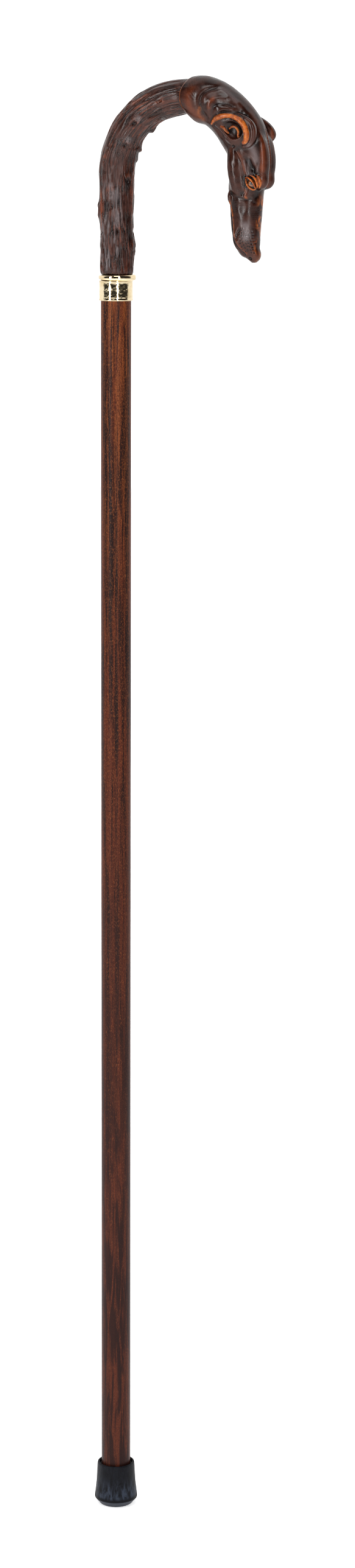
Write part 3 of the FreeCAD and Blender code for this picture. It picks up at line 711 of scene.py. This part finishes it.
BROW_FOLD = ((91.6, 11.9, 872.3, 0.3), (93.9, 11.6, 871.2, 0.6), (95.3, 10.8, 869, 0.7),
             (95.8, 10, 866.4, 0.65), (95.5, 9.4, 864.2, 0.3))
BROW_EDGE = ((94.9, 11.2, 872.6, 0.3), (96.6, 10.5, 870.8, 0.6), (97.6, 9.8, 868, 0.7),
             (97.3, 9.4, 865.4, 0.5), (96.6, 9, 864.2, 0.3))
# Each roll with its softness, and how strong its amber is.
ROLLS = (
    (EAR_FLAP, 1.6, 0), (EAR_RIM, 0.5, 1), (EAR_SWIRL, 0.3, 0.75), (EAR_FOLD, 0.4, 0.6),
    (UPPER_LID, 0.3, 0.9), (LOWER_LID, 0.3, 0.9), (BROW_FOLD, 0.4, 0.9), (BROW_EDGE, 0.5, 0.7),
)

EYE = np.array((91.5, 8.2, 867.3))
EYE_RADIUS = 3.15
EYE_FACING = np.array((0.42, 0.905, 0.06))

# A line that is both cut and darkened with painted shade, through (x, z).
TEMPLE_CREASE = ((90.4, 880.4), (92, 877.6), (93.4, 875), (94.4, 872.6))

# Lines drawn on each side, through (x, z): height pushed out (or in), width, and the line.
STROKES = (
    (-0.7, 1.5, ((63.6, 906), (60.6, 911.5), (60, 916.8), (61.6, 920.8), (65, 923.4), (70.2, 924.6))),
    (0.5, 1.6, ((65.6, 911.6), (66.4, 915), (68.8, 917.4), (72.2, 918.6), (76, 918.2))),
    (-0.6, 1.3, ((67, 908.4), (68.8, 912.6), (72.2, 914.8), (76.4, 915), (80, 913.8))),
    (0.5, 1.4, ((70.2, 907.8), (73, 911), (76.6, 912.1), (80.2, 911.2))),
    (-0.55, 1.1, ((66, 905), (69.6, 908.2), (74, 909.8), (79, 910.2), (84, 909.4),
                  (88.4, 907.6))),
    (0.45, 1.5, ((70.6, 924), (74.5, 921.9), (78.5, 919), (82.3, 915.7), (86, 912.4), (89.2, 909.2))),
    (-0.35, 1.8, ((71.6, 920), (75.6, 917.6), (80, 914.4), (84.6, 911))),
    (0.4, 1.8, ((91.6, 908), (95.2, 902), (97.8, 895.6), (99.2, 888), (99.5, 880), (99, 873))),
    (-0.6, 1.3, ((82.9, 886.5), (84.9, 883), (86.4, 878.6), (87.5, 873.2), (87.8, 868), (88, 863.3),
                 (86.2, 860.6))),
    (-0.12, 1.4, ((78.7, 888), (79.4, 883), (81.4, 878.6))),
    (-0.45, 1.3, ((78.2, 861.6), (81.2, 859.9), (84.7, 858.1), (87.8, 857.2), (91, 857.4))),
    (-0.4, 1, ((95, 861.6), (94, 858.1), (93.2, 855.4))),
    (-0.7, 0.8, ((75.6, 857), (76.6, 851), (77.7, 845.5), (78.3, 839.9), (78.9, 835.2), (80.6, 831.2),
                 (83.4, 827.4), (86.6, 824))),
    (0.3, 0.9, ((77, 856.4), (78.1, 851), (79.1, 845.5), (79.7, 839.9), (80.3, 835.4), (81.9, 831.7),
                (84.6, 828), (87.8, 824.8))),
    (-0.6, 1, ((84, 839.6), (82.6, 837.2), (81.4, 833.7))),
    (-0.35, 0.9, ((68.6, 901), (71.4, 898.8), (74, 896), (77.4, 894))),
    (0.3, 0.8, ((69.8, 902.4), (72.6, 900), (75.2, 897.4), (78.6, 895))),
    (-0.7, 1.7, TEMPLE_CREASE),
    (0.3, 0.8, ((87.7, 881.6), (88.4, 876.6), (89.6, 872.6))),
    (-0.2, 0.5, ((90.2, 872.6), (89.4, 875), (89.2, 877.4))),
    (-0.2, 0.5, ((91.5, 873), (91.2, 875), (91.4, 877.2))),
    (-0.2, 0.5, ((93, 873.6), (93.4, 875.4), (94.2, 877.2))),
)

# Colours laid on each side along a line through (x, z): the mark, its strength, width and line. The grey
# touches are painted highlights, sheen and glints, and some black ones are painted shade.
TOUCHES = (
    ("amber", 0.6, 0.7, ((77, 856), (78.1, 851), (78.7, 847.6))),
    ("amber", 0.4, 0.6, ((79.1, 845.5), (79.7, 839.9), (80.3, 835.4))),
    ("worn", 0.6, 0.7, ((80.3, 835.4), (81.9, 831.7), (84.6, 828), (87.8, 824.8))),
    ("worn", 0.6, 0.9, ((83.4, 886), (85.5, 883), (87, 878.6), (88.2, 873.6))),
    ("worn", 0.3, 1, ((78.9, 888), (79.8, 883), (81.8, 878.6))),
    ("amber", 0.7, 0.6, ((88.2, 858.9), (88.8, 858.5))),
    ("worn", 0.7, 0.8, ((87.9, 863.6), (88.4, 861.2), (88, 859.6))),
    ("amber", 0.35, 1.2, ((59.4, 912), (58.6, 908.4), (60.4, 905.4))),
    ("worn", 0.55, 2.6, ((53.5, 923.6), (51.8, 918.6), (53.4, 912), (57.4, 907.8))),
    ("worn", 0.8, 1.1, ((66, 912.6), (66.2, 915.6), (68.6, 918))),
    ("worn", 0.9, 1.3, ((97.2, 900), (98.8, 890), (99.2, 880), (98.6, 870.6), (97.4, 865.6))),
    ("worn", 0.4, 1.6, ((70, 929.2), (77.4, 925.6), (84.6, 919.6), (91, 911.4), (95, 904.6))),
    # Painted highlights: a glint along the neck's ridge, sheen and glints round the temple and sheen on the
    # muzzle.
    ("painted_highlight", 0.5, 0.9, ((70.3, 924.4), (74.5, 922.3), (78.5, 919.4), (82.3, 916.1))),
    ("painted_highlight", 0.35, 0.8, ((91, 883), (89.9, 879), (90.6, 874.5), (92.4, 872.6))),
    ("painted_highlight", 0.8, 2.4, ((87.6, 841.6), (88.6, 838), (88.2, 834.6))),
    ("painted_highlight", 0.65, 2.2, ((92.4, 889), (94.2, 885.6), (95.4, 881.4))),
    ("painted_highlight", 0.35, 0.7, ((97.2, 880), (96.6, 877.4), (95.8, 874.6))),
    # Painted shade: black in the temple's crease.
    ("black", 0.8, 1.5, TEMPLE_CREASE),
    ("painted_highlight", 0.4, 0.6, ((87.7, 880.6), (88.6, 876.6), (89.8, 872.6))),
    ("black", 0.8, 0.8, ((92.9, 871.2), (94.4, 869), (95, 866.4), (95, 863.8))),
    ("black", 0.7, 0.7, ((94.6, 872.8), (96.1, 870.2), (96.8, 867.4), (96.5, 864.6))),
    ("black", 0.85, 0.7, ((75.6, 857), (76.6, 851), (77.7, 845.5), (78.3, 839.9), (78.9, 835.2),
                          (80.6, 831.2))),
    # Painted shade: black in the ear's bowl and along the inside of its rim.
    ("black", 0.9, 2.6, ((78.6, 899.4), (82, 899.6), (84.6, 897.4))),
    ("black", 0.8, 1.1, ((82.4, 904.4), (86.8, 902.4), (88.4, 898.6), (88, 895.2))),
    ("black", 0.8, 1, ((75.6, 903.6), (79.4, 904), (82.4, 903.4))),
    ("black", 0.6, 0.6, ((96.3, 889.6), (95.6, 893), (96.6, 897), (96.4, 901.4), (94.4, 905.6))),
)


class Clay:
    """One half of a symmetric form as a distance field, negative inside, in millimetres."""

    def __init__(self, low, high, voxel):
        self.voxel = voxel
        self.low = np.array(low, float)
        counts = np.ceil((np.array(high) - self.low) / voxel).astype(int) + 1
        self.x, self.y, self.z = [start + voxel * np.arange(count) for start, count in zip(low, counts)]
        self.field = np.full(counts, 50.0, np.float32)

    def window(self, low, high):
        """The slices of the grid between two corners, and the coordinates of its cells there."""
        low = np.clip(np.floor((np.array(low) - self.low) / self.voxel), 0, None).astype(int)
        high = np.ceil((np.array(high) - self.low) / self.voxel).astype(int) + 1
        cells = tuple(slice(a, max(a, b)) for a, b in zip(low, high))
        grid = np.meshgrid(self.x[cells[0]], self.y[cells[1]], self.z[cells[2]], indexing="ij")
        return cells, grid

    def join(self, cells, other, soft):
        """Adds a form, blended softly into the clay."""
        here = self.field[cells]
        blend = np.maximum(soft - np.abs(here - other), 0) / soft
        self.field[cells] = np.minimum(here, other) - blend ** 2 * soft / 4

    def carve(self, cells, other, soft):
        """Takes a form away, with softly rounded edges."""
        here = self.field[cells]
        blend = np.maximum(soft - np.abs(here + other), 0) / soft
        self.field[cells] = np.maximum(here, -other) + blend ** 2 * soft / 4

    def ellipsoid(self, mass):
        """The cells round an ellipsoid and its distance field there."""
        x, y, z, deep, wide, tall, lean, soft = mass
        reach = max(deep, wide, tall) + soft + 1
        cells, (gx, gy, gz) = self.window((x - reach, y - wide - soft - 1, z - reach),
                                          (x + reach, y + wide + soft + 1, z + reach))
        turn = math.radians(lean)
        along = (gx - x) * math.sin(turn) + (gz - z) * math.cos(turn)
        across = (gx - x) * math.cos(turn) - (gz - z) * math.sin(turn)
        near = np.sqrt((across / deep) ** 2 + ((gy - y) / wide) ** 2 + (along / tall) ** 2) + 1e-6
        steep = np.sqrt((across / deep ** 2) ** 2 + ((gy - y) / wide ** 2) ** 2
                        + (along / tall ** 2) ** 2) + 1e-6
        return cells, near * (near - 1) / steep

    def roll(self, line, soft):
        """Adds a roll of clay along a line of (x, y, z, radius)."""
        beads = smooth_line(line, 8)
        margin = beads[:, 3].max() + soft + 1
        cells, (gx, gy, gz) = self.window(beads[:, :3].min(0) - margin, beads[:, :3].max(0) + margin)
        nearest = np.full(gx.shape, 50.0)
        for x, y, z, radius in beads:
            nearest = np.minimum(nearest, np.sqrt((gx - x) ** 2 + (gy - y) ** 2 + (gz - z) ** 2) - radius)
        self.join(cells, nearest, soft)

    def skin(self):
        """The whole form's surface as quads: this half and its mirror image."""
        whole = np.concatenate([self.field[:, :0:-1], self.field], axis=1)
        grid = openvdb.FloatGrid(50.0)
        grid.copyFromArray(np.ascontiguousarray(whole), ijk=(0, 0, 0), tolerance=0.0)
        points, faces = grid.convertToQuads(0.0)
        start = self.low.copy()
        start[1] = -self.y[-1]
        return points.astype(float) * self.voxel + start, faces.astype(int)


def head_tube(clay):
    """Lays down the neck and skull along their centreline."""
    line = smooth_line(HEAD_SECTIONS, 24)
    ahead = np.gradient(line[:, :2], axis=0)
    ahead /= np.linalg.norm(ahead, axis=1)[:, None]
    outer = np.stack([-ahead[:, 1], ahead[:, 0]], 1)
    spots = np.stack(np.meshgrid(clay.x, clay.z, indexing="ij"), -1).reshape(-1, 2)
    nearest = ((spots[:, None] - line[None, :, :2]) ** 2).sum(2).argmin(1)
    out = ((spots - line[nearest, :2]) * outer[nearest]).sum(1)
    depth = np.where(out >= 0, line[nearest, 2], line[nearest, 3])
    shape = (len(clay.x), 1, len(clay.z))
    out, depth, wide = [side.reshape(shape) for side in (out, depth, line[nearest, 4])]
    across = clay.y[None, :, None]
    near = np.sqrt((out / depth) ** 2 + (across / wide) ** 2) + 1e-6
    away = np.sqrt(out ** 2 + across ** 2)
    beyond = ((spots - line[-1, :2]) @ ahead[-1]).reshape(shape)
    clay.field[:] = np.maximum(away - away / near, beyond)


# The head's open end: its socket, the rod's hole and a lip that curves back to both sides.
NECK_Z = CROOK_START + CROOK_RADIUS
LIP_X, LIP_CURVE, LIP_REACH = 45.1, 0.033, 16
SOCKET_RADIUS, SOCKET_END, ROD_END = 10.9, 53.0, 64.2


def past_lip(x, level):
    """How far a place lies inside the neck's open end; level is its height over the neck's axis."""
    return x - LIP_X - LIP_CURVE * level ** 2


def sculpt_head():
    """The head's surface, before its strokes."""
    clay = Clay((42.0, 0.0, 816.5), (105.0, 17.4, 934.5), 0.4)
    head_tube(clay)
    for mass in MASSES:
        clay.join(*clay.ellipsoid(mass), mass[-1])
    for mass in HOLLOWS:
        clay.carve(*clay.ellipsoid(mass), mass[-1])
    for line, soft, _ in ROLLS:
        clay.roll(line, soft)
    everywhere = (slice(None),) * 3
    x, y, z = clay.x[:, None, None], clay.y[None, :, None], clay.z[None, None, :]
    level = z - NECK_Z
    from_axis = np.sqrt(y ** 2 + level ** 2)
    from_eye = np.sqrt((x - EYE[0]) ** 2 + (y - EYE[1]) ** 2 + (z - EYE[2]) ** 2)
    clay.carve(everywhere, np.where(level > -LIP_REACH, past_lip(x, level), 50) + 0 * y, 1.6)
    clay.carve(everywhere, np.maximum(from_axis - SOCKET_RADIUS, x - SOCKET_END), 0.4)
    clay.carve(everywhere, np.maximum(from_axis - ROD_RADIUS, x - ROD_END), 0.3)
    clay.carve(everywhere, from_eye - EYE_RADIUS + 0.1, 0.2)
    return clay.skin()


def near_line(points, line, width):
    """1 on a smooth line in the XZ plane, falling to nothing a few widths away."""
    best = np.full(len(points), 1e9)
    for x, z in smooth_line(line, 10):
        best = np.minimum(best, (points[:, 0] - x) ** 2 + (points[:, 2] - z) ** 2)
    return np.exp(-best / width ** 2)


def near_spot(points, centre, sizes):
    """1 at a spot, falling to nothing a few sizes away; a size may be one length or one for each axis."""
    return np.exp(-(((points - centre) / sizes) ** 2).sum(1))


def whisker_pits(points):
    """How deep each point lies in the muzzle's rows of whisker pits, from 0 to 1."""
    spread = np.random.default_rng(5)
    deep = 0.0
    for row in range(8):
        for step in range(6):
            x = 83.6 + 1.55 * step + 0.35 * row + spread.uniform(-0.3, 0.3)
            z = 838.2 - 1.85 * row + 0.9 * step * (step < 3) + spread.uniform(-0.35, 0.35)
            gap = np.hypot(points[:, 0] - x, points[:, 2] - z)
            deep = np.maximum(deep, np.exp(-(gap / 0.36) ** 2) * (x < 93.4 - 0.1 * row))
    return deep


def head_marks(points, normal, on_side, pits):
    """The head's amber, worn, highlight and black touches, each from 0 to 1: the highlights are painted
    sheen and glints, and some of the black is painted shade.
    """
    marks = {name: np.zeros(len(points)) for name in ("amber", "worn", "painted_highlight", "black")}

    def lay(name, strength):
        marks[name] = np.maximum(marks[name], strength)

    mirrored = points * (1, 0, 1) + (0, 1, 0) * np.abs(points[:, 1:2])
    for name, strength, width, line in TOUCHES:
        lay(name, strength * near_line(points, line, width) * on_side)
    for roll, _, strength in ROLLS:
        gap = np.full(len(points), 1e9)
        for x, y, z, radius in smooth_line(roll, 8):
            gap = np.minimum(gap, np.linalg.norm(mirrored - (x, y, z), axis=1) - radius)
        lay("amber", strength * soft_step(0.42, -0.05, gap))

    # The bridge of the nose and its tip are rubbed in blotches.
    coarse, small = noise(points, (2.3, 2.3, 4.5), 53), noise(points, (0.9, 0.9, 1.6), 54)
    blotch = soft_step(-0.25, 0.45, coarse + 0.7 * small)
    bridge = soft_step(6.0, 2.6, mirrored[:, 1]) * between(818, 824, 855, 862, points[:, 2])
    lay("amber", 0.7 * bridge * blotch * soft_step(0.3, 0.7, normal[:, 0]))
    lay("amber", 0.65 * near_spot(points, (93.6, 0, 822.4), (2.6, 3.4, 3.0)) * (0.4 + 0.6 * blotch))
    nostril = near_spot(mirrored, (89.4, 3.6, 821.4), 1.3)
    lay("black", nostril)
    lay("black", pits * on_side * 0.8)
    marks["amber"] *= 1 - np.maximum(nostril, pits * on_side)

    level = np.abs(points[:, 2] - NECK_Z)
    lay("amber", 0.5 * soft_step(1.3, 0.5, past_lip(points[:, 0], level)) * (level < LIP_REACH))
    return marks


def make_head(material):
    """The sculpted head, with its strokes cut and its colours laid on."""
    points, faces = sculpt_head()
    normal = point_normals(points, faces)
    on_side = soft_step(0.25, 0.6, np.abs(normal[:, 1]))
    pits = whisker_pits(points)
    push = -0.5 * pits * on_side
    for height, width, line in STROKES:
        push += height * near_line(points, line, width) * on_side
    free = soft_step(46.5, 49.0, points[:, 0])
    push += (noise(points, 9.0, 51) * 0.12 + noise(points, 2.6, 52) * 0.07) * free
    points = points + normal * push[:, None]
    # The far ear stands out further than the near one.
    points += near_spot(points, (93.0, 13.5, 899.5), (7.0, 5.0, 7.5))[:, None] * (4.4, 0.8, -3.2)
    marks = head_marks(points, normal, on_side, pits)
    marks["relief"] = relief(points, faces, 14)
    make_piece("hound_head", points, faces.tolist(), "cane", material, marks)


def make_eye(side, node, material):
    """A glass ball whose iris faces out of its socket, on one side of the head."""
    rings, columns = 40, 56
    facing = EYE_FACING / np.linalg.norm(EYE_FACING) * (1, side, 1)
    across = np.cross(facing, (0, 0, 1))
    across /= np.linalg.norm(across)
    up = np.cross(across, facing)
    tilts = (np.arange(rings) + 0.5) / rings * math.pi
    turns = np.arange(columns) * TURN / columns
    tilt, turn = [angles.ravel() for angles in np.meshgrid(tilts, turns, indexing="ij")]
    direction = (np.cos(tilt)[:, None] * facing + (np.sin(tilt) * np.cos(turn))[:, None] * across
                 + (np.sin(tilt) * np.sin(turn))[:, None] * up)
    cornea = 0.25 * np.exp(-(tilt / 0.45) ** 2)
    points = EYE * (1, side, 1) + direction * (EYE_RADIUS - 0.05 + cornea)[:, None]
    front = list(range(columns))
    back = [(rings - 1) * columns + column for column in reversed(front)]
    faces = grid_faces(rings, columns)[:, ::-1].tolist() + [front, back]
    make_piece(node, points, faces, "cane", material, {"iris": tilt / 1.1})


# ---------------------------------------------------------------- the cane

wood = stained_beech()
brass = brass_metal()
steel = steel_metal()
make_shaft(wood)
make_ferrule(moulded_rubber())
make_sleeve(brass)
make_bead(brass)
make_branch(cast_resin("branch_resin", dark=(0.006, 0.003, 0.0025), brown=(0.062, 0.021, 0.014),
                       worn=(0.17, 0.042, 0.016), shine=0.24, grain=True))
make_head(cast_resin("head_resin", dark=(0.008, 0.0035, 0.003), brown=(0.052, 0.015, 0.008),
                     worn=(0.15, 0.036, 0.011), shine=0.26))
glass = glass_eye()
make_eye(-1, "eye_right", glass)
make_eye(1, "eye_left", glass)
for node in ("core_rod", "ferrule_washer"):
    part = bpy.data.objects[node]
    part.data.materials.clear()
    part.data.materials.append(steel)


# ---------------------------------------------------------------- the studio

def flat_material(name, colour, rough, glow):
    """A plain studio surface with a slight unevenness and a little light of its own."""
    paint = Paint(name)
    cloud = paint.noise(40, 2, 0.5)
    paint.set(Base_Color=paint.mix(paint.ramp(cloud, 0.3, 0.7), colour, tuple(0.99 * c for c in colour)))
    paint.set(Roughness=rough)
    paint.set(Emission_Color=colour, Emission_Strength=glow)
    return paint.material


def soft_box(name, place, target, width, height, power, mirrored=True):
    """A soft rectangular light that faces a point, in metres; gloss may be kept from mirroring it."""
    lamp = bpy.data.lights.new(name, "AREA")
    lamp.shape = "RECTANGLE"
    lamp.size, lamp.size_y, lamp.energy = width, height, power
    thing = bpy.data.objects.new(name, lamp)
    bpy.context.collection.objects.link(thing)
    thing.location = place
    thing.rotation_euler = (Vector(target) - Vector(place)).to_track_quat("-Z", "Y").to_euler()
    thing.visible_camera = False
    thing.visible_glossy = mirrored


def make_floor():
    """The near-white plane that the cane stands on."""
    mesh = bpy.data.meshes.new("floor")
    half = 6.0
    corners = [(-half, -half, 0), (half, -half, 0), (half, half, 0), (-half, half, 0)]
    mesh.from_pydata(corners, [], [(0, 1, 2, 3)])
    mesh.materials.append(flat_material("paper", (0.92, 0.92, 0.92), 0.9, 0.4))
    floor = bpy.data.objects.new("floor", mesh)
    floor.location.z = -0.2 * MM
    bpy.context.collection.objects.link(floor)


def make_world():
    """A white room that is dark on the camera's side, but white wherever the camera looks at it."""
    world = bpy.data.worlds.new("studio")
    bpy.context.scene.world = world
    world.use_nodes = True
    nodes, links = world.node_tree.nodes, world.node_tree.links
    background = nodes["Background"]
    direction = nodes.new("ShaderNodeTexCoord").outputs["Generated"]
    facing = nodes.new("ShaderNodeVectorMath")
    facing.operation = "DOT_PRODUCT"
    facing.inputs[1].default_value = (0.342, -0.94, 0.0)
    links.new(direction, facing.inputs[0])
    ramp = nodes.new("ShaderNodeMapRange")
    for name, number in (("From Min", -0.12), ("From Max", 0.10), ("To Min", 1.0), ("To Max", 0.04)):
        ramp.inputs[name].default_value = number
    links.new(facing.outputs["Value"], ramp.inputs["Value"])
    path = nodes.new("ShaderNodeLightPath")
    seen = nodes.new("ShaderNodeMath")
    seen.operation = "MAXIMUM"
    links.new(ramp.outputs["Result"], seen.inputs[0])
    links.new(path.outputs["Is Camera Ray"], seen.inputs[1])
    links.new(seen.outputs["Value"], background.inputs["Strength"])
    background.inputs["Color"].default_value = (1, 1, 1, 1)


def make_camera():
    """The camera, at the photograph's angle: to the right of the cane and a little above it."""
    lens = bpy.data.cameras.new("camera")
    lens.lens, lens.sensor_width = 80.86, 36.0
    camera = bpy.data.objects.new("camera", lens)
    bpy.context.collection.objects.link(camera)
    camera.location = (0.79503, -2.06917, 0.91047)
    azimuth, tilt, roll = [math.radians(angle) for angle in (20, 90 - 10.82, 0.1912)]
    turn = Matrix.Rotation(azimuth, 4, "Z") @ Matrix.Rotation(tilt, 4, "X") @ Matrix.Rotation(roll, 4, "Z")
    camera.rotation_euler = turn.to_euler()
    bpy.context.scene.camera = camera


make_floor()
make_world()
soft_box("left_strip", (-0.71, -1.64, 1.1), (0, 0, 0.6), 0.22, 1.6, 15)
soft_box("middle_strip", (1.0, -1.62, 1.1), (0, 0, 0.6), 0.08, 1.6, 11)
soft_box("left_box", (-1.2, -1.4, 1.3), (0, 0, 0.6), 0.8, 1.4, 5, False)
soft_box("right_box", (1.8, -1.2, 1.2), (0.03, 0, 0.6), 0.8, 1.4, 16, False)
soft_box("top_light", (0.2, -0.9, 2.3), (0, 0, 0.6), 0.8, 0.8, 8)
make_camera()
bpy.context.scene.view_settings.view_transform = "Standard"
bpy.context.scene.view_settings.look = "Medium High Contrast"
